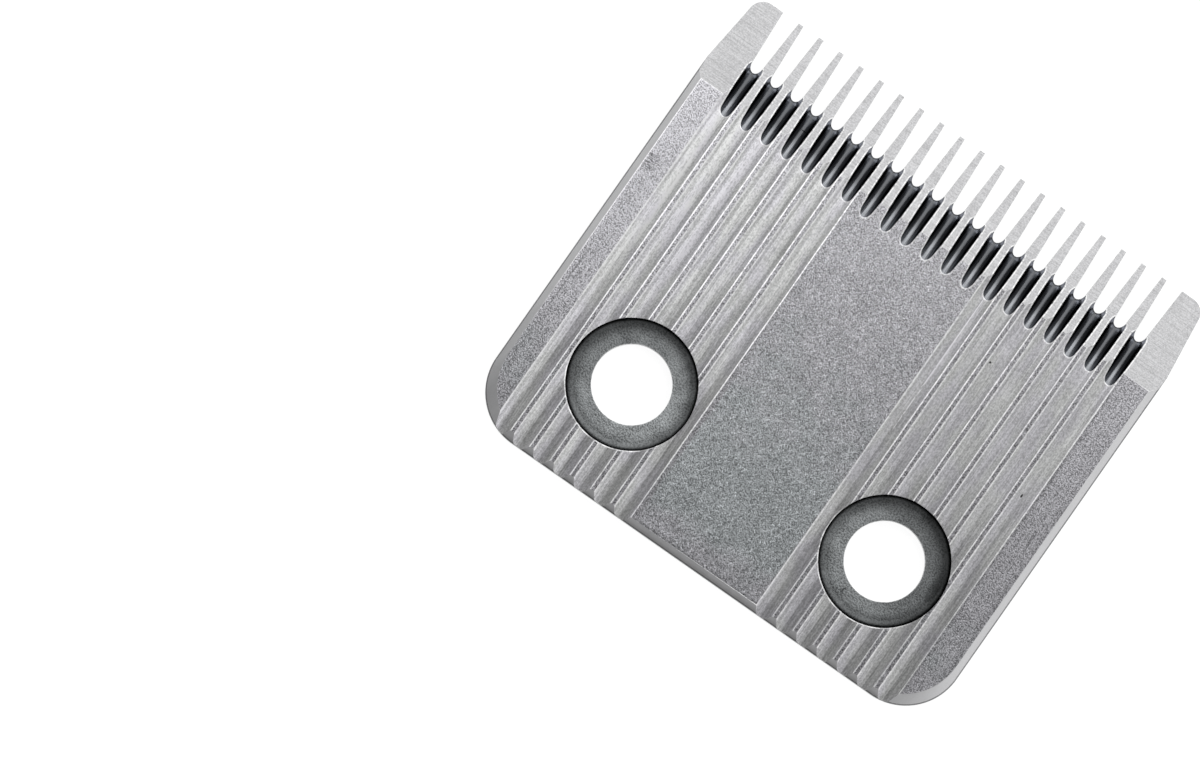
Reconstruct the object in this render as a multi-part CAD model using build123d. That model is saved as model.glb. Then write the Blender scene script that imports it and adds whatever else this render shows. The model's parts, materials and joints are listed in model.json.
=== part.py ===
from build123d import *
import math
import os

# Comb blade of a mains hair clipper: one piece of ground steel plate, in millimetres.
# +X runs along the row of teeth, +Y points to the tooth tips, +Z points out of the grooved face.
# The origin is midway between the two screw holes, on the flat underside.

# Plate
thickness = 2.5
tip_reach = 31.9  # from the line of the screw holes forward to the tooth tips
rear_reach = 9.5  # from the same line back to the rear edge
side_margin = 3.75  # from the centre line of an outermost slot to the plate's side
rear_corner_radius = 5.0

# Shallow sloping band along the sides and the rear, wider round the corners
band_width = 0.63
band_drop = 0.175
band_corner_gain = 0.2  # by how much the band's inner corner radius is the larger one
rim_radius = 0.15  # round edge between the band and the plate's side

# Ground front bevel
bevel_length = 8.35  # from the tooth tips back to the shoulder
tip_thickness = 0.3

# Tapered slots between the teeth
tooth_pitch = 2.0
slots_per_side = 10
slot_tip_width = 1.53
slot_root_width = 1.06
slot_length = 5.45  # from the tooth tips back to the root of the slot
slot_root_length = 0.75  # length of the rounded root

# Round-bottomed flute behind each slot, cut square to the bevel by the rim of a wheel
flute_wheel_radius = 11.4
flute_nose_radius = 0.5
flute_flank_angle = 9.0
flute_floor = 0.23  # steel left under the flute's lowest point
flute_lead = 0.15  # how far the flute's front lies ahead of the slot's root

# Lengthways grooves in line with the outer slots, with eased edges
grooves_per_side = 7
groove_mouth = 1.68
groove_depth = 0.22
groove_edge_radius = 0.25

# Wide lugs at the two ends of the row of teeth
lug_taper_length = 6.5
lug_taper = 0.69
lug_corner_radius = 1.3

# Screw holes with wide counterbores
hole_spacing = 25.0
hole_diameter = 6.6
counterbore_diameter = 10.8
counterbore_depth = 1.1
counterbore_corner_radius = 0.7

# How far a cutting shape stands out of the plate
overcut = 1.0

# Places that follow from the sizes above
slot_places = [(index + 0.5) * tooth_pitch for index in range(slots_per_side)]
groove_places = slot_places[-grooves_per_side:]
half_width = slot_places[-1] + side_margin
shoulder = tip_reach - bevel_length
bevel_slope = (thickness - tip_thickness) / bevel_length
bevel_angle = math.atan(bevel_slope)


def both_sides(places):
    """The same places on the left and on the right of the middle, from left to right."""
    return [-place for place in reversed(places)] + list(places)


def bevel_height(setback):
    """Height of the front bevel at a distance behind the tooth tips."""
    return tip_thickness + setback * bevel_slope


def plate_section():
    """Cross-section of the plate seen along Y, with the grooves in its upper edge."""
    half_mouth = groove_mouth / 2
    radius = (half_mouth**2 + groove_depth**2) / (2 * groove_depth) - groove_edge_radius
    wall_angle = math.asin(half_mouth / (radius + groove_edge_radius))

    def edge_point(angle):
        """Point on the eased edge, as a distance from the groove's middle and a height."""
        inward = groove_edge_radius * math.sin(angle)
        down = groove_edge_radius * (1 - math.cos(angle))
        return half_mouth - inward, thickness - down

    mouth = edge_point(0)
    eased = edge_point(wall_angle / 2)
    wall = edge_point(wall_angle)
    floor_height = thickness - groove_depth
    outline = [Polyline((-half_width, thickness), (-half_width, 0), (half_width, 0), (half_width, thickness))]
    last = (-half_width, thickness)
    for place in both_sides(groove_places):
        left = [(place - reach, height) for reach, height in (mouth, eased, wall)]
        right = [(place + reach, height) for reach, height in (wall, eased, mouth)]
        outline.append(Line(last, left[0]))
        outline.append(ThreePointArc(*left))
        outline.append(ThreePointArc(left[2], (place, floor_height), right[0]))
        outline.append(ThreePointArc(*right))
        last = right[2]
    outline.append(Line(last, (half_width, thickness)))
    return make_face(Curve() + outline)


def grooved_plate():
    """Straight length of plate with its grooves, from the rear edge to the tooth tips."""
    rear_plane = Plane.XZ.offset(rear_reach)
    return extrude(rear_plane * plate_section(), -(rear_reach + tip_reach))


def rear_outline(inset, corner_radius):
    """Plan of the plate with its round rear corners, drawn in by an inset, open-ended past the tips."""
    side = half_width - inset
    rear = inset - rear_reach
    front = tip_reach + overcut
    plan = make_face(Polyline((-side, rear), (side, rear), (side, front), (-side, front), close=True))
    return fillet(plan.vertices().sort_by(Axis.Y)[:2], corner_radius)


def banded_block():
    """Block as wide as the plate whose top edges slope inward, past the plate's upper face."""
    foot = rear_outline(0, rear_corner_radius)
    head = rear_outline(2 * band_width, rear_corner_radius + 2 * band_corner_gain)
    band_foot = thickness - band_drop
    wall = extrude(Pos(0, 0, -overcut) * foot, band_foot + overcut)
    slope = loft([Pos(0, 0, band_foot) * foot, Pos(0, 0, band_foot + 2 * band_drop) * head], ruled=True)
    block = wall + slope
    rim = block.edges().filter_by_position(Axis.Z, band_foot, band_foot).sort_by(Axis.Y)[:-1]
    return fillet(rim, rim_radius)


def lug_outline():
    """Plan of the plate in front, with the sloping sides and round corners of the two lugs."""
    rear = -rear_reach - overcut
    taper_start = tip_reach - lug_taper_length
    tip_side = half_width - lug_taper
    plan = make_face(
        Polyline(
            (-half_width, rear),
            (half_width, rear),
            (half_width, taper_start),
            (tip_side, tip_reach),
            (-tip_side, tip_reach),
            (-half_width, taper_start),
            close=True,
        )
    )
    return fillet(plan.vertices().sort_by(Axis.Y)[-2:], lug_corner_radius)


def lug_block():
    """Block that trims the ends of the row of teeth to the lugs' plan."""
    return extrude(Pos(0, 0, -overcut) * lug_outline(), thickness + 2 * overcut)


def bevel_cut():
    """Wedge above the front bevel."""
    high = thickness + overcut * bevel_slope
    low = tip_thickness - overcut * bevel_slope
    rear = shoulder - overcut
    front = tip_reach + overcut
    side = make_face(Polyline((rear, high), (front, low), (front, high), close=True))
    return extrude(Plane.YZ * side, half_width + overcut, both=True)


def slot_cut():
    """Tapered slot with a rounded root, right through the plate."""
    root_half = slot_root_width / 2
    root_start = tip_reach - slot_length + slot_root_length
    spread = (slot_tip_width - slot_root_width) / 2 / (tip_reach - root_start)
    mouth = tip_reach + overcut
    mouth_half = root_half + spread * (mouth - root_start)
    root = EllipticalCenterArc((0, root_start), root_half, slot_root_length, 180, arc_size=180)
    sides = Polyline((root_half, root_start), (mouth_half, mouth), (-mouth_half, mouth), (-root_half, root_start))
    plan = make_face(Curve() + [root, sides])
    return extrude(Pos(0, 0, -overcut) * plan, thickness + 2 * overcut)


def flute_cut():
    """Flute behind a slot: the sweep of a wheel's rim, closed in front by a round end."""
    setback = slot_length - flute_lead
    upward = Vector(0, math.sin(bevel_angle), math.cos(bevel_angle))
    surface = Vector(0, tip_reach - setback, bevel_height(setback))
    depth = (surface.Z - flute_floor) / upward.Z
    lowest = surface - upward * depth
    centre = lowest + upward * flute_wheel_radius
    rim_plane = Plane(lowest, x_dir=(1, 0, 0), z_dir=Vector(1, 0, 0).cross(upward))

    flank = math.radians(flute_flank_angle)
    nose = flute_nose_radius
    nose_mid = math.pi / 4 - flank / 2
    top = depth + overcut
    nose_side = (nose * math.cos(flank), nose * (1 - math.sin(flank)))
    top_side = nose_side[0] + (top - nose_side[1]) * math.tan(flank)
    half_rim = make_face(
        Curve()
        + [
            ThreePointArc((0, 0), (nose * math.sin(nose_mid), nose * (1 - math.cos(nose_mid))), nose_side),
            Polyline(nose_side, (top_side, top), (0, top), (0, 0)),
        ]
    )
    rim = half_rim + mirror(half_rim, Plane.YZ)
    clear_of_plate = math.acos((centre.Z - thickness - overcut) / flute_wheel_radius)
    sweep_angle = math.degrees(clear_of_plate - bevel_angle)
    run_out = revolve(rim_plane * rim, Axis(centre, (-1, 0, 0)), sweep_angle)
    front_end = revolve(rim_plane * half_rim, Axis(lowest, upward), 180)
    return run_out + front_end


def screw_bore():
    """Through hole with its counterbore, whose floor meets the wall in a round corner."""
    hole = Cylinder(hole_diameter / 2, thickness + 2 * overcut, align=(Align.CENTER, Align.CENTER, Align.MIN))
    recess_height = counterbore_depth + overcut
    recess = Cylinder(counterbore_diameter / 2, recess_height, align=(Align.CENTER, Align.CENTER, Align.MIN))
    recess = fillet(recess.edges().group_by(Axis.Z)[0], counterbore_corner_radius)
    return Pos(0, 0, -overcut) * hole + Pos(0, 0, thickness - counterbore_depth) * recess


def comb_blade():
    """The whole blade: the grooved plate trimmed to its outline, bevelled, slotted, fluted and bored."""
    plate = grooved_plate() & banded_block() & lug_block()
    slot = slot_cut()
    flute = flute_cut()
    bore = screw_bore()
    cuts = [bevel_cut()]
    for place in both_sides(slot_places):
        cuts.append(Pos(place, 0, 0) * slot)
        cuts.append(Pos(place, 0, 0) * flute)
    for place in both_sides([hole_spacing / 2]):
        cuts.append(Pos(place, 0, 0) * bore)
    return plate - cuts


os.makedirs("parts", exist_ok=True)
export_step(comb_blade(), "parts/comb_blade.step")
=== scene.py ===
import json
import math

import bpy
import numpy as np
from mathutils import Matrix, Vector
from mathutils.geometry import delaunay_2d_cdt


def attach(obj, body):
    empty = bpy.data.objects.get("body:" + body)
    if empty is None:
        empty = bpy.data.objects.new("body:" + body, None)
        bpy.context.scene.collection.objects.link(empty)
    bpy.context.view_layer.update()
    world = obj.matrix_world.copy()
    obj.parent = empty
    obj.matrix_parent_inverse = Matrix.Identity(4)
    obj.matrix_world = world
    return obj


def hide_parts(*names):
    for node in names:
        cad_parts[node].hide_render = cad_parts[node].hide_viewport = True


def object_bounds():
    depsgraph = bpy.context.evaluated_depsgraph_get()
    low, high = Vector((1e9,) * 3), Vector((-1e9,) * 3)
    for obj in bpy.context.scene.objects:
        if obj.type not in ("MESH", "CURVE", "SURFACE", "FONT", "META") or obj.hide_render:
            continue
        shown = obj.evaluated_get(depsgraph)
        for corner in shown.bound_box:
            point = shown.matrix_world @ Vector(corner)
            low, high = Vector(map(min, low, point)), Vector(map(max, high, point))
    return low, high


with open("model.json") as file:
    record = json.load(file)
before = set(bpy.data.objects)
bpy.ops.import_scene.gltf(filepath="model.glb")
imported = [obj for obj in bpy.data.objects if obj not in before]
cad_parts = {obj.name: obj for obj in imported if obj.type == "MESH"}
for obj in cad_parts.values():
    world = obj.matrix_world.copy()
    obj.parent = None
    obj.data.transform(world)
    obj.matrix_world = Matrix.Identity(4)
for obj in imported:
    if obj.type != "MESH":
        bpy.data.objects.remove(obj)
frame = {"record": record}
cad_low, cad_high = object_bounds()

# Comb blade: one plate of hardened steel, punched with two screw holes and ground to a bevel in front.
# Its teeth are slotted and fluted by a wheel, and its upper face is ribbed by lengthways grooves.
# The mesh is a plan cut up along every edge, raised to the lowest of the surfaces that the cutters leave.
mm = 0.001
thickness = cad_high.z / mm
half_width = cad_high.x / mm
tip_reach = cad_high.y / mm
rear_reach = -cad_low.y / mm
worn_edge = 0.05
tiny = 1e-9


def arc_height(radius, away):
    """Height of a round arc over its centre, at a distance to the side."""
    return np.sqrt(np.maximum(radius**2 - away**2, 0))


# The slots repeat along the row of teeth, and a groove runs back from each of the outer ones.
tooth_pitch = 2.0
slots_per_side = 10
slot_places = [side * (index + 0.5) * tooth_pitch for side in (-1, 1) for index in range(slots_per_side)]
groove_inner_end = 6.0
groove_outer_end = 20.0
groove_places = [place for place in slot_places if abs(place) > groove_inner_end]
groove_half = 0.84
groove_depth = 0.22
groove_edge_radius = 0.25
groove_shift = -0.2
groove_radius = (groove_half**2 + groove_depth**2) / (2 * groove_depth) - groove_edge_radius
groove_wall = groove_half * groove_radius / (groove_radius + groove_edge_radius)


def column_offset(x):
    """Distance from the middle line of the nearest column of slots."""
    return np.abs(x % tooth_pitch - tooth_pitch / 2)


def groove_height(x):
    """Height of the grooves, whose round floors end in eased edges."""
    x = x - groove_shift
    across = column_offset(x)
    floor = thickness - groove_depth + groove_radius - arc_height(groove_radius, across)
    from_mouth = np.maximum(groove_half - across, 0)
    edge = thickness - groove_edge_radius + arc_height(groove_edge_radius, from_mouth)
    grooved = (np.abs(x) > groove_inner_end) & (np.abs(x) < groove_outer_end)
    return np.where(grooved, np.where(across < groove_wall, floor, edge), thickness)


# A shallow sloping band runs along the sides and the rear, and widens round the rear corners.
rear_corner_radius = 5.0
band_width = 0.63
band_drop = 0.175
band_corner_gain = 0.2
band_run = 2 * band_width
band_gain = 2 * band_corner_gain
rim_radius = 0.15


def past_corner(x, y):
    """How far a place lies outside and behind the middle of the nearer rear corner's arc."""
    return np.abs(x) - half_width + rear_corner_radius, rear_corner_radius - rear_reach - y


def straight_inset(x, y):
    """Distance inside the nearest of the sides and the rear, as if the corners were square."""
    return np.minimum(half_width - np.abs(x), y + rear_reach)


def rear_inset(x, y):
    """Distance inside the plan with its round rear corners, and how far round a corner the place lies."""
    past_side, past_rear = past_corner(x, y)
    in_corner = (past_side > 0) & (past_rear > 0)
    reach = np.maximum(np.hypot(past_side, past_rear), tiny)
    turn = np.where(in_corner, (past_side + past_rear) / reach, 1.0)
    return np.where(in_corner, rear_corner_radius - reach, straight_inset(x, y)), turn


def band_height(x, y):
    """Height of the sloping band, where the corner's radius grows as the slope rises."""
    past_side, past_rear = past_corner(x, y)
    drift = band_run + band_gain
    square = 2 * drift**2 - band_gain**2
    linear = 2 * drift * (past_side + past_rear) - 2 * rear_corner_radius * band_gain
    constant = past_side**2 + past_rear**2 - rear_corner_radius**2
    round_rise = (np.sqrt(np.maximum(linear**2 - 4 * square * constant, 0)) - linear) / (2 * square)
    in_corner = (past_side > -drift * round_rise) & (past_rear > -drift * round_rise)
    rise = np.where(in_corner, round_rise, straight_inset(x, y) / band_run)
    return thickness - band_drop + 2 * band_drop * rise


def rim_height(x, y):
    """Height of the round edge between the band and the plate's side."""
    inset, turn = rear_inset(x, y)
    lean = np.arctan(2 * band_drop / ((band_run + band_gain) * turn - band_gain))
    tangent = rim_radius / np.tan((math.pi / 2 + lean) / 2)
    height = thickness - band_drop - tangent + arc_height(rim_radius, rim_radius - inset)
    return np.where(inset < tangent * np.cos(lean), height, np.inf)


# The front is ground in one bevel, from a shoulder down to the thin tooth tips.
bevel_length = 8.35
tip_thickness = 0.3
shoulder = tip_reach - bevel_length
bevel_slope = (thickness - tip_thickness) / bevel_length
bevel_sin = math.sin(math.atan(bevel_slope))
bevel_cos = math.cos(math.atan(bevel_slope))


def bevel_height(y):
    """Height of the front bevel."""
    return tip_thickness + (tip_reach - y) * bevel_slope


# The wheel that opens a slot leaves a round-bottomed flute behind it, square to the bevel.
slot_length = 5.45
flute_wheel_radius = 11.4
flute_nose_radius = 0.5
flute_flank = math.radians(9.0)
flute_floor = 0.23
flute_lead = 0.15
flute_mouth_y = tip_reach - slot_length + flute_lead
flute_depth = (bevel_height(flute_mouth_y) - flute_floor) / bevel_cos
flute_low_y = flute_mouth_y - flute_depth * bevel_sin
wheel_y = flute_low_y + flute_wheel_radius * bevel_sin
wheel_z = flute_floor + flute_wheel_radius * bevel_cos
flank_foot = flute_nose_radius * math.cos(flute_flank)
flank_foot_rise = flute_nose_radius * (1 - math.sin(flute_flank))
flute_mouth_half = flank_foot + (flute_depth - flank_foot_rise) * math.tan(flute_flank)
flute_end_limit = 8.0
halvings = 50


def flute_rise(across):
    """Height of the wheel's rim profile over its nose."""
    nose = flute_nose_radius - arc_height(flute_nose_radius, across)
    flank = flank_foot_rise + (across - flank_foot) / math.tan(flute_flank)
    return np.where(across < flank_foot, nose, flank)


def flute_height(x, y):
    """Height of the flutes: the wheel's sweep behind, and a round end in front."""
    across = column_offset(x)
    rise = flute_rise(across)
    height = wheel_z - arc_height(flute_wheel_radius - rise, y - wheel_y)
    in_front = y > flute_low_y + bevel_sin * rise
    if in_front.any():
        near = np.zeros_like(height)
        far = np.full_like(height, flute_end_limit)
        for _ in range(halvings):
            ahead = (near + far) / 2
            reach = flute_low_y + bevel_sin * flute_rise(np.hypot(across, ahead)) + bevel_cos * ahead
            near = np.where(reach < y, ahead, near)
            far = np.where(reach < y, far, ahead)
        end = flute_floor + bevel_cos * flute_rise(np.hypot(across, near)) - bevel_sin * near
        height = np.where(in_front, end, height)
    return np.where(np.abs(x) < groove_outer_end, height, np.inf)


# The screw holes have wide counterbores, whose floors meet the walls in a round corner.
screw_holes = next(mount for mount in frame["record"]["mounts"] if mount["name"] == "screw_holes")
hole_places = [side * screw_holes["dims"]["spacing_x_mm"] / 2 for side in (-1, 1)]
hole_radius = screw_holes["dims"]["hole_r_mm"]
counterbore_radius = 5.4
counterbore_depth = 1.1
counterbore_fillet = 0.7
recess_wall_inset = 0.015
recess_rim_inset = 0.005
recess_wall_margin = 0.003
fillet_start = counterbore_radius - counterbore_fillet
recess_wall = counterbore_radius - recess_wall_inset
recess_rim = counterbore_radius - recess_rim_inset


def to_hole(x, y):
    """Distance to the nearest screw hole's axis, and the level direction towards it."""
    outside = np.abs(x) - hole_places[1]
    reach = np.maximum(np.hypot(outside, y), tiny)
    return reach, np.stack([-outside * np.sign(x) / reach, -y / reach, np.zeros_like(reach)], axis=-1)


def counterbore_height(x, y):
    """Height of the counterbores: floor, round corner and a wall that ends just under the face."""
    reach = to_hole(x, y)[0]
    into_fillet = np.clip(reach, fillet_start, recess_wall) - fillet_start
    floor = thickness - counterbore_depth
    round_floor = floor + counterbore_fillet - arc_height(counterbore_fillet, into_fillet)
    face = groove_height(x) - worn_edge
    climb = np.clip((reach - recess_wall) / (recess_rim - recess_wall), 0, 1)
    height = round_floor + climb * (face - round_floor)
    return np.where(reach < (recess_rim + counterbore_radius) / 2, height, np.inf)


flat_index, groove_index, band_index, rim_index, bevel_index, flute_index, counterbore_index = range(7)


def surface_heights(x, y):
    """Heights of all the surfaces over places on the plan: the lowest is the blade's."""
    heights = {
        flat_index: np.full_like(x, thickness),
        groove_index: groove_height(x),
        band_index: band_height(x, y),
        rim_index: rim_height(x, y),
        bevel_index: bevel_height(y),
        flute_index: flute_height(x, y),
        counterbore_index: counterbore_height(x, y),
    }
    return np.stack(list(heights.values()))


def slopes(height, x, y):
    """How fast a height over the plan rises along X and along Y."""
    step = 0.0005
    with np.errstate(invalid="ignore"):
        along_x = (height(x + step, y) - height(x - step, y)) / (2 * step)
        along_y = (height(x, y + step) - height(x, y - step)) / (2 * step)
    return np.nan_to_num(along_x), np.nan_to_num(along_y)


def leaning(direction, lean):
    """Normals that lean from upright to a level direction, where lean is the sine of the angle."""
    return direction * lean[:, None] + np.sqrt(1 - lean**2)[:, None] * (0, 0, 1)


def surface_normals(x, y):
    """Upward normals of the same surfaces. The steep round ones take theirs from their circles."""
    slope_x, slope_y = slopes(surface_heights, x, y)
    normals = np.stack([-slope_x, -slope_y, np.ones_like(slope_x)], axis=-1)
    out_x, out_y = slopes(lambda x, y: -rear_inset(x, y)[0], x, y)
    outward = np.stack([out_x, out_y, np.zeros_like(out_x)], axis=-1)
    normals[rim_index] = leaning(outward, np.clip(1 - rear_inset(x, y)[0] / rim_radius, 0, 1))
    reach, inward = to_hole(x, y)
    lean = np.clip((reach - fillet_start) / counterbore_fillet, 0, 1)
    lean[reach > recess_wall + recess_wall_margin] = 1.0
    normals[counterbore_index] = leaning(inward, lean)
    return normals / np.linalg.norm(normals, axis=-1, keepdims=True)


# The plan is drawn as runs of points: its own borders, every edge, and guard lines beside the edges.
plan_points = []
plan_edges = []
border_edges = set()
edge_guard = 0.035
edge_shifts = (-worn_edge, 0, worn_edge)
corner_step = 2.5


def trace(path, closed=False):
    """Adds a run of points that the plan's triangles have to follow."""
    first = len(plan_points)
    plan_points.extend((float(x), float(y)) for x, y in path)
    last = len(plan_points) - 1
    plan_edges.extend((index, index + 1) for index in range(first, last))
    if closed:
        plan_edges.append((last, first))


def trace_border(path):
    """Adds a closed run along which the steel ends."""
    first = len(plan_edges)
    trace(path, closed=True)
    border_edges.update(range(first, len(plan_edges)))


def rounded_plan(corners, inset):
    """Closed run of points along a convex plan with round corners, drawn in by an inset."""
    path = []
    count = len(corners)
    for index, (corner, radius) in enumerate(corners):
        corner = np.array(corner)
        into = corner - np.array(corners[index - 1][0])
        out = np.array(corners[(index + 1) % count][0]) - corner
        into_left = np.array((-into[1], into[0])) / np.hypot(*into)
        out_left = np.array((-out[1], out[0])) / np.hypot(*out)
        inward = (into_left + out_left) / (1 + into_left @ out_left)
        centre = corner + inward * max(radius, inset)
        bend = math.radians(corner_step if radius > 0 else 90)
        start = math.atan2(-into_left[1], -into_left[0])
        turn = (math.atan2(-out_left[1], -out_left[0]) - start) % (2 * math.pi)
        steps = max(1, round(turn / bend))
        arm = max(radius - inset, 0)
        for step in range(steps + 1):
            angle = start + turn * step / steps
            path.append(centre + arm * np.array((math.cos(angle), math.sin(angle))))
    return path


def offset_loop(path, outward):
    """The same closed run, moved out square to itself."""
    path = np.array(path)
    along = np.roll(path, -1, axis=0) - np.roll(path, 1, axis=0)
    square = np.stack([along[:, 1], -along[:, 0]], axis=1)
    return path + outward * square / np.linalg.norm(square, axis=1, keepdims=True)


def mirrored(distances):
    """The same distances on both sides of a middle line, from left to right."""
    return [-away for away in distances[:0:-1]] + distances


# The outline has round rear corners, and ends in front in two wide lugs with sloping sides.
lug_taper_length = 6.5
lug_taper = 0.69
lug_corner_radius = 1.3
taper_y = tip_reach - lug_taper_length
tip_side = half_width - lug_taper
outline = [
    ((-half_width, -rear_reach), rear_corner_radius),
    ((half_width, -rear_reach), rear_corner_radius),
    ((half_width, taper_y), 0),
    ((tip_side, tip_reach), lug_corner_radius),
    ((-tip_side, tip_reach), lug_corner_radius),
    ((-half_width, taper_y), 0),
]
band_end = shoulder + band_drop / bevel_slope
trace_border(rounded_plan(outline, 0))
trace([(x, y) for x, y in rounded_plan(outline, edge_guard) if y > band_end])


def rear_path(inset, radius):
    """Run along the sides and the rear, drawn in by an inset, with the given corner radius."""
    corners = [((-half_width, -rear_reach), radius + inset), ((half_width, -rear_reach), radius + inset)]
    corners += [((half_width, band_end), 0), ((-half_width, band_end), 0)]
    path = rounded_plan(corners, inset)[:-4]
    side = half_width - inset
    return [(-side, band_end), *path, (side, band_end)]


# The rim and the band's upper edge follow the outline, and the shoulder crosses it.
rim_insets = (0.01, 0.03, 0.06, 0.085, 0.1105)
for inset in rim_insets:
    trace(rear_path(inset, rear_corner_radius - inset))
for shift in edge_shifts:
    inset = band_width + shift
    trace(rear_path(inset, rear_corner_radius + band_corner_gain * inset / band_width))
for shift in edge_shifts:
    trace([(-half_width, shoulder + shift), (half_width, shoulder + shift)])
for side in (-1, 1):
    for shift in edge_shifts:
        start = (side * (half_width - band_width), shoulder + shift)
        trace([start, (side * half_width, band_end + shift)])


def solve(excess, low, high):
    """Where a rising quantity passes zero, between two limits."""
    for _ in range(halvings):
        middle = (low + high) / 2
        if excess(middle) < 0:
            low = middle
        else:
            high = middle
    return (low + high) / 2


def height_at(surface, *place):
    """Height of one surface over one place."""
    return surface(*[np.array([float(value)]) for value in place])[0]


def flute_over(x, y):
    """How far a flute's surface lies over the grooves and the bevel."""
    return height_at(flute_height, x, y) - min(height_at(groove_height, x), bevel_height(y))


# Each flute's edge is a closed run with guard lines round it, and lines along its floor carry the hollow.
run_out_limits = (20.0, 25.5)
flank_limits = (0.4, 0.9)
flank_steps = 12
flute_end_angles = np.radians(np.arange(10, 91, 10))
flute_guards = (0.15, 0.08, -0.02)
flute_line_points = 14
flute_line_gap = 0.03
flute_line_lead = 0.5
flute_samples = [0, 0.05, 0.1, 0.15, 0.2, 0.25, 0.3, 0.34, 0.38, 0.41, 0.44, 0.46, 0.48, flank_foot]
flute_lines = mirrored([0, 0.1, 0.2, 0.3, 0.38, 0.44, 0.48, flank_foot])


def flute_rear(x):
    """Where a flute's run-out leaves the face, at a distance from the blade's middle."""
    return solve(lambda y: -flute_over(x, y), *run_out_limits)


def flute_path(place, side):
    """Half of a flute's edge, from its rear end round to its front end."""
    path = []
    for across in flute_samples:
        x = place + side * across
        path.append((x, flute_rear(x)))
    start = path[-1][1]
    for part in np.linspace(0, 1, flank_steps + 1)[1:]:
        y = start + (flute_mouth_y - start) * part
        across = solve(lambda across: flute_over(place + side * across, y), *flank_limits)
        path.append((place + side * across, y))
    for angle in flute_end_angles:
        ahead = bevel_cos * flute_mouth_half * math.sin(angle)
        path.append((place + side * flute_mouth_half * math.cos(angle), flute_mouth_y + ahead))
    return path


flute_edges = []
for alike in (sorted(set(slot_places) - set(groove_places)), groove_places):
    model = alike[-1]
    loop = flute_path(model, 1) + flute_path(model, -1)[-2:0:-1]
    starts = [flute_rear(model + across) + flute_line_gap for across in flute_lines]
    end = flute_mouth_y + flute_line_lead
    for place in alike:
        shifted = [(x - model + place, y) for x, y in loop]
        flute_edges.append(np.array(shifted))
        trace(shifted, closed=True)
        for outward in flute_guards:
            trace(offset_loop(shifted, outward), closed=True)
        for across, start in zip(flute_lines, starts):
            trace([(place + across, y) for y in np.linspace(start, end, flute_line_points)])

# The slots taper from the tips to their rounded roots, and go right through the plate.
slot_tip_width = 1.53
slot_root_width = 1.06
slot_root_length = 0.75
slot_overcut = 1.0
slot_root_points = 33
slot_root_y = tip_reach - slot_length + slot_root_length
slot_root_half = slot_root_width / 2
slot_spread = (slot_tip_width - slot_root_width) / 2 / (tip_reach - slot_root_y)
slot_front = tip_reach + slot_overcut
slot_front_half = slot_root_half + slot_spread * (slot_front - slot_root_y)
slot_loop = [(-slot_front_half, slot_front)]
for angle in np.linspace(math.pi, 0, slot_root_points):
    slot_loop.append((slot_root_half * math.cos(angle), slot_root_y - slot_root_length * math.sin(angle)))
slot_loop.append((slot_front_half, slot_front))
for place in slot_places:
    loop = [(place + across, y) for across, y in slot_loop]
    trace_border(loop)
    trace(offset_loop(loop, edge_guard), closed=True)

# The grooves run from the band to the bevel or into a flute, broken by the counterbores on their way.
groove_samples = [0, 0.12, 0.24, 0.36, 0.44, 0.494, 0.56, 0.62, 0.68, groove_wall, 0.745, 0.775, 0.805]
groove_samples = mirrored([*groove_samples, groove_half, groove_half + worn_edge])
flute_half = 0.55
flute_margin = 0.1
groove_rear_limit = -3.0
groove_rear_guard = 0.03
groove_rear_gap = 0.005
groove_stops = {}
for across in groove_samples:
    x = groove_places[-1] + groove_shift + across
    if abs(groove_shift + across) < flute_half:
        groove_stops[across] = flute_rear(x) + flute_margin
    else:
        groove_stops[across] = shoulder + (thickness - height_at(groove_height, x)) / bevel_slope
rim_turns = [[], []]
for place in groove_places:
    rear_edge = []
    front_edge = []
    for across in groove_samples:
        x = place + groove_shift + across
        height = height_at(groove_height, x)
        rear = solve(
            lambda y: min(height_at(band_height, x, y), height_at(rim_height, x, y)) - height,
            -rear_reach,
            groove_rear_limit,
        )
        front_stop = groove_stops[across]
        rear_edge.append((x, rear))
        front_edge.append((x, shoulder + (thickness - height) / bevel_slope))
        side = 0 if x < 0 else 1
        from_axis = x - hole_places[side]
        if abs(from_axis) < counterbore_radius:
            turn = round(math.acos(from_axis / counterbore_radius), 6)
            rim_x = hole_places[side] + counterbore_radius * math.cos(turn)
            rim_y = counterbore_radius * math.sin(turn)
            trace([(x, rear), (rim_x, -rim_y)])
            trace([(rim_x, rim_y), (x, front_stop)])
            rim_turns[side] += [-turn, turn]
        else:
            trace([(x, rear), (x, front_stop)])
    trace(rear_edge)
    trace([(x, y + groove_rear_guard) for x, y in rear_edge])
    trace([(x, max(y - groove_rear_guard, -rear_reach + groove_rear_gap)) for x, y in rear_edge])
    for shift in edge_shifts:
        trace([(x, y + shift) for x, y in front_edge])

# The counterbores are rings of points, which take up the ends of the groove lines on the way round.
ring_points = 120
ring_gap = 0.004
outer_ring = 0.12
fillet_leans = (65, 52, 39, 26, 13, 0)
floor_rings = (4.2, 3.75)
ring_radii = [counterbore_radius + outer_ring, counterbore_radius + worn_edge, counterbore_radius]
ring_radii += [recess_rim, recess_wall]
ring_radii += [fillet_start + counterbore_fillet * math.sin(math.radians(lean)) for lean in fillet_leans]
ring_radii += [*floor_rings, hole_radius + worn_edge]
for side, place in enumerate(hole_places):
    even = np.linspace(-math.pi, math.pi, ring_points + 1)[:-1].tolist()
    clear = [angle for angle in even if np.abs(np.array(rim_turns[side]) - angle).min() > ring_gap]
    angles = sorted({*clear, *rim_turns[side]})
    for radius in ring_radii:
        trace([(place + radius * math.cos(angle), radius * math.sin(angle)) for angle in angles], closed=True)
    trace_border([(place + hole_radius * math.cos(angle), hole_radius * math.sin(angle)) for angle in angles])

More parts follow.
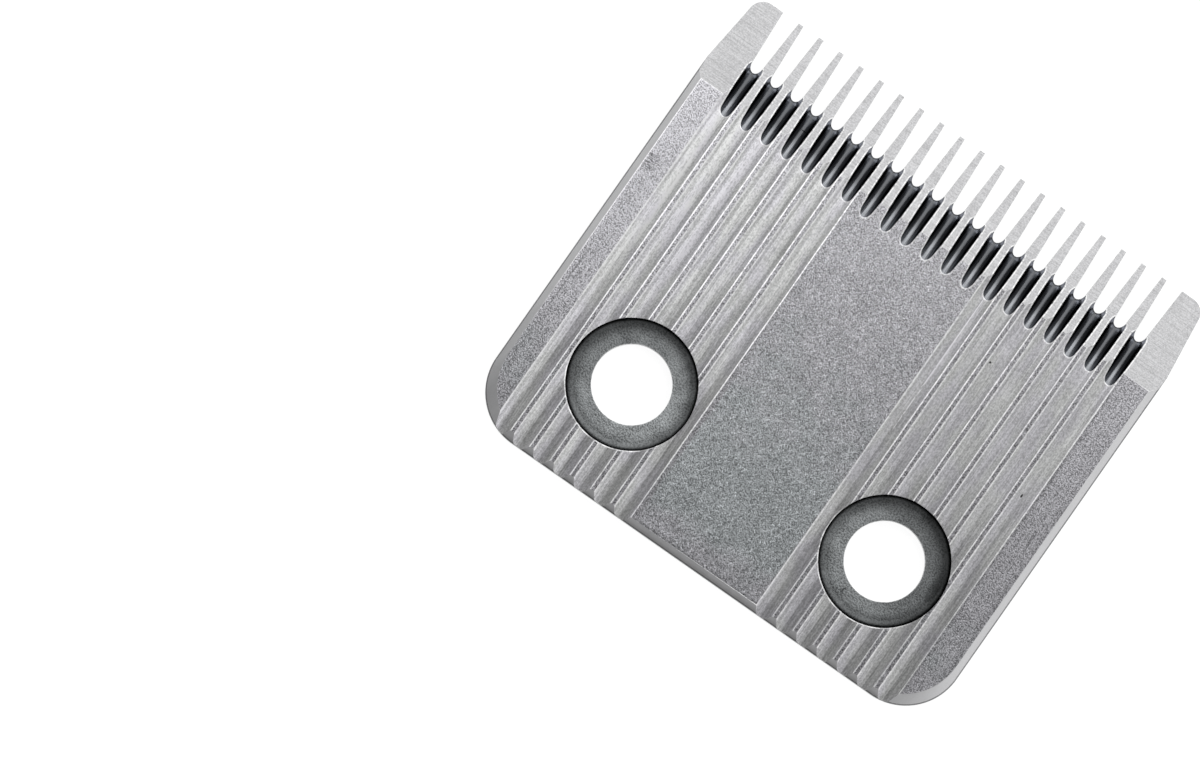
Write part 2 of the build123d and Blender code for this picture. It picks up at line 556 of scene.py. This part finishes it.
# The plan's triangles within the borders are the upper face, and their points are raised to its height.
inside_y = 12
plan_merge = 1e-4
underside_merge = 1e-7


def steel_triangles(points, edges, borders, merge):
    """Triangles of the plan that can be reached from its middle without passing a border."""
    vertices, made_edges, faces, _, edge_sources, _ = delaunay_2d_cdt(
        [Vector(point) for point in points], edges, [], 0, merge, True
    )
    shut = {frozenset(edge) for edge, sources in zip(made_edges, edge_sources) if borders & set(sources)}
    sides = {}
    for index, face in enumerate(faces):
        for edge in zip(face, face[1:] + face[:1]):
            sides.setdefault(frozenset(edge), []).append(index)
    place = np.array([tuple(vertex) for vertex in vertices], dtype=float)
    middles = np.array([place[face].mean(axis=0) for face in faces])
    found = {int(np.hypot(middles[:, 0], middles[:, 1] - inside_y).argmin())}
    fresh = list(found)
    while fresh:
        face = faces[fresh.pop()]
        for edge in zip(face, face[1:] + face[:1]):
            edge = frozenset(edge)
            if edge not in shut:
                near = [index for index in sides[edge] if index not in found]
                found.update(near)
                fresh.extend(near)
    triangles = np.array([faces[index] for index in sorted(found)])
    used, triangles = np.unique(triangles, return_inverse=True)
    triangles = triangles.reshape(-1, 3)
    place = place[used]
    corners = place[triangles]
    first = corners[:, 1] - corners[:, 0]
    second = corners[:, 2] - corners[:, 0]
    rightward = first[:, 0] * second[:, 1] < first[:, 1] * second[:, 0]
    triangles[rightward] = triangles[rightward][:, ::-1]
    return place, triangles


place_xy, triangles = steel_triangles(plan_points, plan_edges, border_edges, plan_merge)
across_plan = place_xy[:, 0]
along_plan = place_xy[:, 1]
heights = surface_heights(across_plan, along_plan)
normals = surface_normals(across_plan, along_plan)
lowest = heights.argmin(axis=0)
face_height = heights.min(axis=0)
count = len(place_xy)

# Where surfaces meet at an edge their normals are shared, so that the edge shows as worn round.
meeting_gap = 0.003
crease_angle = math.radians(6)
on_ring = 0.0025
meeting = heights < face_height + meeting_gap
lowest_normal = normals[lowest, np.arange(count)]
spread = np.where(meeting, (normals * lowest_normal).sum(axis=-1), 1).min(axis=0)
creased = spread < math.cos(crease_angle)
shared_normal = (normals * meeting[:, :, None]).sum(axis=0)
vertex_normal = np.where(creased[:, None], shared_normal, lowest_normal)
reach, inward = to_hole(across_plan, along_plan)
at_recess_rim = np.abs(reach - counterbore_radius) < on_ring
vertex_normal[at_recess_rim] += inward[at_recess_rim]
vertex_normal /= np.linalg.norm(vertex_normal, axis=1, keepdims=True)
half_angle = np.arccos(np.clip((vertex_normal * lowest_normal).sum(axis=1), -1, 1))


def ramp(value, full, none):
    """1 at full and past it, 0 at none and past it, and straight between them."""
    return np.clip((none - value) / (none - full), 0, 1)


# The lips of the grooves, band, shoulder and recesses are worn and carry painted highlights, and turn a
# little to the light.
same_height = 1e-6
right_lip_middle = 0.81
left_lip_middle = 0.78
groove_lip_reach = (0.028, 0.068)
edge_lip_reach = (0.0105, 0.0455)
band_lip_fade = (8.0, 2.0)
rim_light = (0.72, 1.44, 0.0)
forward_lean = 0.4
right_lip_lean = 0.25
left_lip_lean = 0.45
from_middle = np.abs(across_plan)
from_grooves = across_plan - groove_shift
on_right = from_grooves % tooth_pitch > tooth_pitch / 2
lip_middle = np.where(on_right, right_lip_middle, left_lip_middle)
lip = ramp(np.abs(column_offset(from_grooves) - lip_middle), *groove_lip_reach)
lip[(np.abs(from_grooves) < groove_inner_end) | (np.abs(from_grooves) > groove_outer_end)] = 0
lip[heights[groove_index] > face_height + same_height] = 0
# Painted highlights: the band's lip only on the left and in front, the shoulder's only beside the outer
# flats.
band_lip = ramp(np.abs(rear_inset(across_plan, along_plan)[0] - band_width), *edge_lip_reach)
rear_lip = np.where((from_middle < groove_inner_end) & (along_plan < 0), band_lip, 0)
band_lip *= ramp(along_plan, *band_lip_fade)
band_lip[(across_plan > 0) | (along_plan > shoulder)] = 0
shoulder_lip = ramp(np.abs(along_plan - shoulder), *edge_lip_reach)
shoulder_lip[(from_middle < groove_outer_end) | (from_middle > half_width - band_width)] = 0
# Painted glints: the recess rims are bright on their rear and left sides, which face the light.
rim_glint = np.clip(inward @ rim_light, 0, 1)
past_rim = rim_glint * (np.abs(reach - counterbore_radius - worn_edge) < on_ring)
lit = np.maximum.reduce([lip * on_right, band_lip, rear_lip, shoulder_lip, past_rim])
rightward_lean = lip * np.where(on_right, right_lip_lean, left_lip_lean)
vertex_normal += (lit * forward_lean)[:, None] * (0, 1, 0) + rightward_lean[:, None] * (1, 0, 0)
vertex_normal /= np.linalg.norm(vertex_normal, axis=1, keepdims=True)

# The walls go down square from the borders, and the worn edges are sunk by what the rounding takes off.
wall_smooth_angle = math.radians(40)
edge_sink = 0.7
least_crease = 0.03
wall_guard_share = 0.6
pairs = np.concatenate([triangles[:, [0, 1]], triangles[:, [1, 2]], triangles[:, [2, 0]]])
known = {(start, end) for start, end in pairs.tolist()}
border = [(start, end) for start, end in known if (end, start) not in known]
after = {start: end for start, end in border}
before = {end: start for start, end in border}
wall_normals = {}
for start, end in border:
    along = place_xy[end] - place_xy[start]
    wall_normals[start, end] = np.array((along[1], -along[0], 0)) / np.hypot(*along)
corner_normal = {}
for vertex in after:
    first = wall_normals[before[vertex], vertex]
    second = wall_normals[vertex, after[vertex]]
    both = first + second
    both /= np.linalg.norm(both)
    smooth = first @ second > math.cos(wall_smooth_angle)
    corner_normal[vertex] = (both, both) if smooth else (first, second)
    if lowest[vertex] == rim_index:
        vertex_normal[vertex] = both
        half_angle[vertex] = 0
    else:
        mixed = vertex_normal[vertex] + both
        vertex_normal[vertex] = mixed / np.linalg.norm(mixed)
        half_angle[vertex] = math.acos(np.clip(vertex_normal[vertex] @ lowest_normal[vertex], -1, 1))
sink = worn_edge * edge_sink * (1 / np.cos(half_angle) - 1) / np.maximum(np.tan(half_angle), tiny)
sink[half_angle <= least_crease] = 0
top_points = np.column_stack([place_xy, face_height]) - vertex_normal * sink[:, None]
ring = sorted(after)
ring_index = {vertex: index for index, vertex in enumerate(ring)}
guard_of = {vertex: count + index for vertex, index in ring_index.items()}
foot_of = {vertex: count + len(ring) + index for vertex, index in ring_index.items()}
guard_height = np.maximum(face_height[ring] - worn_edge, face_height[ring] * wall_guard_share)
guard_points = np.column_stack([place_xy[ring], guard_height])
foot_points = np.column_stack([place_xy[ring], np.zeros(len(ring))])
points = np.concatenate([top_points, guard_points, foot_points])

# Every face gets the finish of the surface that it lies on, and the underside is closed flat.
wall_index = 7
foot_index = 8
faces = [tuple(face) for face in triangles.tolist()]
face_normals = [tuple(map(tuple, vertex_normal[face])) for face in triangles]
middles = place_xy[triangles].mean(axis=1)
face_finish = surface_heights(middles[:, 0], middles[:, 1]).argmin(axis=0).tolist()
for start, end in border:
    at_start = corner_normal[start][1]
    at_end = corner_normal[end][0]
    faces.append((end, start, guard_of[start], guard_of[end]))
    face_normals.append((vertex_normal[end], vertex_normal[start], at_start, at_end))
    faces.append((guard_of[end], guard_of[start], foot_of[start], foot_of[end]))
    face_normals.append((at_end, at_start, at_start, at_end))
    face_finish += [wall_index, wall_index]
under_edges = [(ring_index[start], ring_index[end]) for start, end in border]
under_borders = set(range(len(under_edges)))
_, under_triangles = steel_triangles(place_xy[ring], under_edges, under_borders, underside_merge)
for face in under_triangles.tolist():
    faces.append(tuple(foot_of[ring[corner]] for corner in face[::-1]))
    face_normals.append(((0, 0, -1),) * 3)
    face_finish.append(foot_index)
mesh = bpy.data.meshes.new("steel_blade")
mesh.from_pydata((points * mm).tolist(), [], faces)
mesh.shade_smooth()
mesh.normals_split_custom_set([tuple(normal) for corners in face_normals for normal in corners])

# How far each edge is worn bright, with painted highlights and glints, is kept on the mesh's points, for the
# finishes.
full_wear_and_glint_angle = math.radians(30)
flute_lip_reach = (0.07, 0.14)
flute_lip_start = 20
flute_lip_steps = 4
run_out_wear_and_glint = 0.65
left_lip_wear_and_glint = 0.85
recess_rim_wear_and_glint = 0.9
flute_lip = np.zeros(count)
for edge in flute_edges:
    parts = np.linspace(0, 1, flute_lip_steps + 1)[:-1, None, None]
    edge = (edge * (1 - parts) + np.roll(edge, -1, axis=0) * parts).reshape(-1, 2)
    in_column = np.abs(across_plan - edge[:, 0].mean()) < tooth_pitch / 2
    near = np.nonzero(in_column & (along_plan > flute_lip_start))[0]
    distance = np.linalg.norm(place_xy[near, None] - edge, axis=2).min(axis=1)
    flute_lip[near] = ramp(distance, *flute_lip_reach)
flute_lip[heights[flute_index] < face_height + same_height] = 0
flute_lip *= np.where(along_plan < shoulder, run_out_wear_and_glint, 1.0)
# Painted light: the right lips' highlight is brighter towards the front and the left.
right_lip_wear_and_glint = np.clip(0.5 + 0.03 * along_plan, 0.2, 1)
right_lip_wear_and_glint *= np.clip(0.75 - 0.01 * across_plan, 0, 1)
groove_lip = lip * np.where(on_right, right_lip_wear_and_glint, left_lip_wear_and_glint)
top_wear_and_glint = np.clip(half_angle / full_wear_and_glint_angle, 0, 1)
# Painted glint on the recess rims, on their rear and left sides.
top_wear_and_glint[at_recess_rim] = recess_rim_wear_and_glint * rim_glint[at_recess_rim]
edge_lips = [0.7 * band_lip, 0.8 * rear_lip, 0.7 * shoulder_lip, 0.8 * past_rim]
edge_wear_and_glint = np.zeros(len(points))
edge_wear_and_glint[:count] = np.maximum.reduce([top_wear_and_glint, groove_lip, flute_lip, *edge_lips])
wear = mesh.attributes.new("wear", "FLOAT", "POINT")
wear.data.foreach_set("value", edge_wear_and_glint)


class Shade:
    """A shader socket that works in Python sums: each operator adds a Math node to the socket's tree."""

    def __init__(self, tree, socket=None):
        self.tree = tree
        self.socket = socket

    def node(self, kind, settings, sockets, output=0):
        """One output of a new node, whose settings are made before its sockets get their values or links."""
        made = self.tree.nodes.new(kind)
        for name, value in settings.items():
            setattr(made, name, value)
        for name, value in sockets.items():
            if isinstance(value, Shade):
                self.tree.links.new(value.socket, made.inputs[name])
            else:
                made.inputs[name].default_value = value
        return Shade(self.tree, made.outputs[output])

    def math(self, operation, *values):
        """Result of a Math node on the given values or sockets."""
        return self.node("ShaderNodeMath", {"operation": operation}, dict(enumerate(values)))

    def __add__(self, other):
        return self.math("ADD", self, other)

    def __radd__(self, other):
        return self.math("ADD", other, self)

    def __sub__(self, other):
        return self.math("SUBTRACT", self, other)

    def __rsub__(self, other):
        return self.math("SUBTRACT", other, self)

    def __mul__(self, other):
        return self.math("MULTIPLY", self, other)

    def __rmul__(self, other):
        return self.math("MULTIPLY", other, self)

    def __neg__(self):
        return self.math("SUBTRACT", 0, self)

    def __abs__(self):
        return self.math("ABSOLUTE", self)

    def above(self, start, end):
        """0 below start, 1 above end and smooth between them."""
        return self.node(
            "ShaderNodeMapRange",
            {"interpolation_type": "SMOOTHSTEP"},
            {"Value": self, "From Min": start, "From Max": end},
        )

    def tint(self, low, high):
        """Colour between low, where the value is 0, and high, where it is 1."""
        ends = [value if isinstance(value, Shade) else (*value, 1) for value in (low, high)]
        # The colour sockets share their names with the others of the node, so they go by number.
        colours = {0: self, 6: ends[0], 7: ends[1]}
        return self.node("ShaderNodeMix", {"data_type": "RGBA"}, colours, output=2)


class Steel:
    """A steel finish: a metal material, with the patterns that its nodes share."""

    black = (0, 0, 0)
    grey = (0.985, 0.985, 1)
    rubbed_and_glint_white = (0.98, 0.98, 0.98)
    rubbed_roughness = 0.35

    def __init__(self, name):
        self.material = bpy.data.materials.new(name)
        self.material.use_nodes = True
        tree = self.material.node_tree
        self.shader = tree.nodes["Principled BSDF"]
        self.shader.inputs["Metallic"].default_value = 1.0
        self.root = Shade(tree)
        self.place = self.root.node("ShaderNodeTexCoord", {}, {}, output="Object")
        self.x = self.root.node("ShaderNodeSeparateXYZ", {}, {"Vector": self.place}, output="X") * (1 / mm)
        self.y = self.root.node("ShaderNodeSeparateXYZ", {}, {"Vector": self.place}, output="Y") * (1 / mm)
        self.wear = self.root.node("ShaderNodeAttribute", {"attribute_name": "wear"}, {}, output="Fac")

    def noise(self, across, along, upright=None, detail=1.0, offset=0.0, turn=0.0):
        """Noise from 0 to 1 whose grains have the given size along X, Y and Z, in millimetres."""
        sizes = (across, along, upright or along)
        turned = self.root.node(
            "ShaderNodeVectorRotate",
            {"rotation_type": "Z_AXIS"},
            {"Vector": self.place, "Angle": math.radians(turn)},
        )
        stretched = self.root.node(
            "ShaderNodeMapping",
            {},
            {"Vector": turned, "Scale": [1 / (size * mm) for size in sizes], "Location": (offset,) * 3},
        )
        return self.root.node("ShaderNodeTexNoise", {}, {"Vector": stretched, "Scale": 1.0, "Detail": detail})

    def column(self, shift=0.0):
        """Place across the nearest column of slots, counted from the column's middle."""
        far_left = 1000.0
        return self.x.math("MODULO", self.x - shift + far_left, tooth_pitch) - tooth_pitch / 2

    def spot(self, x, y, half_across, half_along):
        """1 within a small oval place on the plan, and 0 outside it."""
        across = (self.x - x) * (1 / half_across)
        along = (self.y - y) * (1 / half_along)
        return 1 - (across * across + along * along).above(0.4, 1.0)

    def finish(self, level, hue, roughness, relief, depth):
        """Links the finish up: grey level, hue, roughness, and relief as a bump of the given depth."""
        tree = self.root.tree
        # Worn edges, and the painted highlights and glints along them, turn the colour near white.
        rubbed_and_glint = self.wear * self.noise(0.22, 0.22, offset=21.0).above(0.25, 0.6)
        colour = rubbed_and_glint.tint(level.tint(self.black, hue), self.rubbed_and_glint_white)
        roughness = roughness + rubbed_and_glint * (self.rubbed_roughness - roughness)
        bump = self.root.node("ShaderNodeBump", {}, {"Height": relief, "Distance": depth * mm})
        tree.links.new(colour.socket, self.shader.inputs["Base Color"])
        tree.links.new(roughness.socket, self.shader.inputs["Roughness"])
        tree.links.new(bump.socket, self.shader.inputs["Normal"])
        return self.material


def tumbled_steel():
    """Satin of the flats and lands: speckled, finely scratched, smudged, darker along its seams; painted
    light pales it to the front left, painted shade darkens the right and left rear.
    """
    steel = Steel("tumbled_steel")
    from_middle = abs(steel.x)
    outside = from_middle.above(19.7, 20.0)
    panel = 1 - from_middle.above(5.8, 6.1)
    lands = (1 - outside) * (1 - panel)
    painted_light_leftward = (-steel.x).above(-8.0, 20.0) * steel.y.above(-4.0, 14.0) * lands
    painted_shade_left_rear = (-steel.x).above(19.7, 20.0) * (1 - steel.y.above(-8.0, 8.0))
    speckle = steel.noise(0.11, 0.11).above(0.3, 0.7)
    scratches = steel.noise(0.1, 0.5, offset=3.0, turn=-35).above(0.58, 0.72)
    scratches = scratches + steel.noise(0.1, 0.45, offset=13.0, turn=40).above(0.58, 0.72)
    lines = steel.noise(0.07, 5.0, offset=17.0).above(0.3, 0.7)
    mottle = steel.noise(2.5, 2.5, detail=3.0, offset=7.0)
    left_smudge = steel.spot(-21.7, 15.6, 0.7, 0.9) * steel.noise(0.6, 0.12, offset=31.0).above(0.4, 0.6)
    right_smudge = steel.spot(21.3, 9.0, 0.25, 2.5) * steel.noise(0.1, 1.5, offset=33.0).above(0.45, 0.65)
    panel_seam = (1 - abs(steel.y + 8.76).above(0.03, 0.12)) * panel
    side_seam = (1 - abs(steel.x - 21.9).above(0.08, 0.25)) * (1 - steel.y.above(6.0, 18.0))
    long_scratch = steel.spot(-21.68, 4.0, 0.06, 4.5)
    grain = speckle * (0.64 + outside * 0.1) + scratches * 0.32 * (1 - outside)
    grain = grain + lines * (0.1 + outside * 0.1)
    level = 0.19 + grain * 0.7 + mottle * 0.14
    # Painted light: the lands grow paler towards the left and the front.
    level = level * (0.8 + 0.22 * panel + 0.32 * outside + 0.3 * painted_light_leftward)
    level = level * (1 - (left_smudge + right_smudge) * 0.6)
    # Painted shade: darker to the right, and on the left outer flat towards the rear.
    level = level * (1 - steel.x * (0.006 + outside * 0.003)) * (1 - painted_shade_left_rear * 0.24)
    level = level * (1 - (panel_seam * 0.28 + side_seam * 0.15 + long_scratch * 0.35))
    purple = (1 - panel) * 0.6 + (1 - steel.y.above(-8.5, -4.5))
    purple = (steel.y * 0.05 + mottle - 0.4 + purple).above(0.0, 0.8)
    hue = purple.tint((0.93, 0.975, 1.0), (0.96, 0.95, 1.0))
    return steel.finish(level, hue, roughness=speckle * 0.1 + 0.27, relief=speckle + scratches, depth=0.006)


def drawn_steel():
    """Grooves: fine lengthways lines, painted shade on their right sides and to the rear, a painted sheen
    along their middles, a bright painted line and two specks.
    """
    steel = Steel("drawn_steel")
    lines = steel.noise(0.08, 6.0).above(0.3, 0.7)
    patches = steel.noise(0.7, 2.5, detail=3.0, offset=9.0)
    grain = steel.noise(0.11, 0.17, offset=2.0).above(0.3, 0.7)
    column = steel.column(groove_shift)
    painted_light_leftward = (-steel.x).above(-8.0, 20.0) * steel.y.above(-4.0, 14.0)
    rear = 1 - steel.y.above(-2.0, 14.0)
    # Painted sheen along each groove's middle, stronger to the left; painted shade on the right sides, beside
    # the left lips and towards the rear.
    painted_sheen = (1 - abs(column).above(0.2, 0.55)) * (painted_light_leftward * 0.3 - 0.03)
    shade = (1 - abs(column + 0.58).above(0.04, 0.16)) * 0.12 + column.above(0.35, 0.55) * 0.14
    shade = shade + column.above(-0.05, 0.1) * rear * 0.26
    # A scratch line in one groove, painted as a bright highlight.
    scored_highlight = steel.spot(6.9, 16.0, 0.07, 8.0) * steel.noise(0.2, 0.6, offset=5.0).above(0.3, 0.5)
    specks = steel.spot(10.27, 18.1, 0.11, 0.11) + steel.spot(18.55, 10.7, 0.1, 0.2)
    # Painted light: paler the further from x = 8 mm, mostly to the left.
    from_right = steel.x - 8.0
    level = 0.31 + lines * 0.16 + patches * 0.3 + grain * 0.24
    level = level * (0.96 + from_right * from_right * 0.0003) * (1 + painted_sheen - shade)
    level = (level + scored_highlight * 0.8) * (1 - specks * 0.9)
    green = steel.noise(1.3, 4.0, offset=41.0).above(0.35, 0.65)
    hue = green.tint((0.965, 0.955, 1.0), (0.985, 0.99, 0.985))
    return steel.finish(level, hue, roughness=lines * 0.1 + 0.33, relief=lines, depth=0.002)


def band_steel(name, low, high):
    """Band and rim: bright streaks between two grey levels, with painted shade towards the rear, at the left
    rear and along the rear edge.
    """
    steel = Steel(name)
    streaks = steel.noise(0.5, 2.0, 1.0, detail=3.0)
    speckle = steel.noise(0.15, 0.15, offset=3.0)
    rear = 1 - steel.y.above(-9.0, -4.5)
    painted_shade_left_rear = (-steel.x).above(20.0, 22.0) * (1 - steel.y.above(-8.0, 8.0))
    foot = 1 - steel.y.above(-9.5, -9.0)
    level = low + (streaks + speckle) * 0.5 * (high - low)
    # Painted shade: darker to the rear, at the left rear corner and along the rear edge.
    level = level * (1 - rear * 0.2) * (1 - painted_shade_left_rear * 0.25) * (1 - foot * 0.4)
    return steel.finish(level, steel.grey, roughness=streaks * 0.15 + 0.25, relief=streaks, depth=0.006)


def ground_steel():
    """Bevel and tooth faces: lines of the grinding wheel, along the row of teeth."""
    steel = Steel("ground_steel")
    lines = steel.noise(5.0, 0.11, 0.4, detail=3.0).above(0.25, 0.75)
    patches = steel.noise(1.5, 1.5, detail=3.0, offset=5.0)
    grain = steel.noise(0.12, 0.12, offset=2.0).above(0.3, 0.7)
    level = 0.3 + lines * 0.16 + patches * 0.12 + grain * 0.14
    return steel.finish(level, steel.grey, roughness=lines * 0.15 + 0.3, relief=lines, depth=0.01)


def fluted_steel():
    """Flutes: dark steel with lines of the wheel and one nick, painted light on the run-out and in front, and
    a painted sheen along the floor's middle.
    """
    steel = Steel("fluted_steel")
    lines = steel.noise(0.06, 1.5, detail=3.0)
    floor = 1 - abs(steel.column()).above(0.0, 0.45)
    rear = 1 - steel.y.above(22.2, 24.4)
    front = steel.y.above(26.1, 26.4) * (1 - floor)
    nick = steel.spot(-12.85, 24.9, 0.3, 0.06)
    # Painted light on the run-out and the front end, and a painted sheen along the middle of the floor.
    level = 0.12 + rear * 0.2 + front * 0.8 + floor * (0.03 + rear * 0.2) * (lines * 0.5 + 0.75)
    level = level * (1 - nick * 0.8)
    steel.shader.inputs["Specular Tint"].default_value = (0.1, 0.1, 0.12, 1)
    return steel.finish(level, (0.91, 0.94, 1), roughness=lines * 0.1 + 0.22, relief=lines, depth=0.004)


def blasted_steel():
    """Counterbores: a speckled, stained floor, with painted shade deepening into the corner, with a hooked
    mark and soot.
    """
    steel = Steel("blasted_steel")
    speckle = steel.noise(0.14, 0.14).above(0.3, 0.7)
    stains = steel.noise(1.6, 1.6, detail=3.0, offset=4.0).above(0.25, 0.75)
    outward = abs(steel.x) - hole_places[1]
    reach = outward * outward + steel.y * steel.y
    reach = reach.math("SQRT", reach)
    painted_corner_shade = reach.above(3.9, 5.2)
    corner = reach.above(5.1, 5.37)
    hook = steel.spot(11.2, -3.83, 0.3, 0.3) * (1 - steel.spot(11.28, -3.83, 0.2, 0.2))
    soot = steel.spot(17.1, 0.6, 0.5, 1.6) * stains
    level = 0.16 + speckle * 0.26 + stains * 0.16
    # Painted shade: darker into the corner, towards the front, the outer side and the right.
    level = level * (1 - painted_corner_shade * 0.68) * (1 - corner * 0.95) * (1 - steel.y * 0.06) * (1 - outward * 0.06)
    level = level * (1 - steel.x * 0.009) * (1 - hook * 0.6) * (1 - soot * 0.6)
    steel.shader.inputs["Specular Tint"].default_value = (0.2, 0.2, 0.2, 1)
    return steel.finish(level, (0.945, 0.985, 1), roughness=speckle * 0.2 + 0.35, relief=speckle, depth=0.01)


def sawn_steel():
    """Walls of the plate, the slots and the holes: upright lines of the cut."""
    steel = Steel("sawn_steel")
    lines = steel.noise(0.15, 0.15, 2.0, detail=3.0)
    level = 0.35 + lines * 0.25
    return steel.finish(level, steel.grey, roughness=lines * 0.2 + 0.3, relief=lines, depth=0.006)


def lapped_steel():
    """Underside: lapped flat, with long lines along the row of teeth."""
    steel = Steel("lapped_steel")
    lines = steel.noise(6.0, 0.15, 1.0, detail=3.0)
    level = 0.5 + lines * 0.16
    return steel.finish(level, steel.grey, roughness=lines * 0.2 + 0.25, relief=lines, depth=0.005)


finishes = {
    flat_index: tumbled_steel(),
    groove_index: drawn_steel(),
    band_index: band_steel("band_steel", 0.86, 1.0),
    # Painted shade: the rim is the band's steel, made dark where the edge rounds over.
    rim_index: band_steel("rim_steel", 0.2, 0.34),
    bevel_index: ground_steel(),
    flute_index: fluted_steel(),
    counterbore_index: blasted_steel(),
    wall_index: sawn_steel(),
    foot_index: lapped_steel(),
}
for index in sorted(finishes):
    mesh.materials.append(finishes[index])
mesh.polygons.foreach_set("material_index", face_finish)
blade = bpy.data.objects.new("steel_blade", mesh)
bpy.context.scene.collection.objects.link(blade)
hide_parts("comb_blade")
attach(blade, "root")

# Floor: the wide sheet of white paper that the blade lies on, flat and matt.
# The eye and the steel see it white, but it throws little light of its own on the blade.
floor_half = 1.5
floor_gap = 0.02 * mm
paper_grey = (0.4, 0.4, 0.4, 1)
paper_white = (1, 1, 1, 1)
paper_glow = 0.85
floor_corners = [(-1, -1), (1, -1), (1, 1), (-1, 1)]
floor_points = [(x * floor_half, y * floor_half, cad_low.z - floor_gap) for x, y in floor_corners]
floor_mesh = bpy.data.meshes.new("floor")
floor_mesh.from_pydata(floor_points, [], [(0, 1, 2, 3)])
floor = bpy.data.objects.new("floor", floor_mesh)
bpy.context.scene.collection.objects.link(floor)
paper = bpy.data.materials.new("paper")
paper.use_nodes = True
floor_mesh.materials.append(paper)
sheet = Shade(paper.node_tree)
seen = sheet.node("ShaderNodeLightPath", {}, {}, output="Is Camera Ray")
for ray in ("Is Glossy Ray", "Is Transmission Ray"):
    seen = seen.math("MAXIMUM", seen, sheet.node("ShaderNodeLightPath", {}, {}, output=ray))
matt = sheet.node("ShaderNodeBsdfDiffuse", {}, {"Color": paper_grey})
glow = sheet.node("ShaderNodeEmission", {}, {"Color": paper_white, "Strength": seen * paper_glow})
surface = sheet.node("ShaderNodeAddShader", {}, {0: matt, 1: glow})
paper.node_tree.links.new(surface.socket, paper.node_tree.nodes["Material Output"].inputs["Surface"])

# Light: a white studio room, brightest on the blade's right, less so on its left, and bright low all round.
# A square soft box hangs over the front left and is aimed at the blade.
# It makes the flats darken to the rear and to the right.
world = bpy.data.worlds.new("studio")
bpy.context.scene.world = world
world.use_nodes = True
sky = Shade(world.node_tree)
direction = sky.node("ShaderNodeTexCoord", {}, {}, output="Generated")
across_sky = sky.node("ShaderNodeSeparateXYZ", {}, {"Vector": direction}, output="X")
along_sky = sky.node("ShaderNodeSeparateXYZ", {}, {"Vector": direction}, output="Y")
lowness = across_sky * across_sky + along_sky * along_sky
lowness = lowness.math("SQRT", lowness)
room_light = 0.26 + 0.36 * across_sky.above(0.0, 0.45) + 0.23 * (-across_sky).above(0.25, 0.7)
room_light = room_light + 0.35 * lowness.above(0.8, 0.98)
background = world.node_tree.nodes["Background"]
world.node_tree.links.new(room_light.socket, background.inputs["Strength"])
background.inputs["Color"].default_value = (1, 1, 1, 1)
box_size = 126 * mm
box_radiance = 0.8
box_place = Vector((-6 * mm, 79 * mm, 80 * mm))
box_target = Vector((0, 10 * mm, 0))
lamp = bpy.data.lights.new("soft_box", "AREA")
lamp.size = box_size
lamp.energy = box_radiance * 4 * box_size**2
soft_box = bpy.data.objects.new("soft_box", lamp)
bpy.context.scene.collection.objects.link(soft_box)
soft_box.location = box_place
soft_box.rotation_euler = (box_target - box_place).to_track_quat("-Z", "Y").to_euler()

# Camera: a long lens high above the blade and a little behind it.
# It is turned so that the teeth point to the upper right, and the blade stands right of the middle.
camera_turn = math.radians(35.0)
camera_place = Vector((-1.6 * mm, -25.0 * mm, 900.0 * mm))
frame_middle = Vector((-14.6 * mm, -1.5 * mm, cad_high.z))
frame_width = 97.2 * mm
view = frame_middle - camera_place
lens = bpy.data.cameras.new("camera")
lens.lens = lens.sensor_width * view.length / frame_width
lens.clip_start = 1.0 * mm
back = -view.normalized()
level_right = Vector((math.cos(camera_turn), math.sin(camera_turn), 0))
right_hand = (level_right - back * level_right.dot(back)).normalized()
camera_axes = Matrix((right_hand, back.cross(right_hand), back)).transposed()
camera = bpy.data.objects.new("camera", lens)
bpy.context.scene.collection.objects.link(camera)
camera.matrix_world = Matrix.Translation(camera_place) @ camera_axes.to_4x4()
bpy.context.scene.camera = camera
bpy.context.scene.view_settings.view_transform = "Standard"
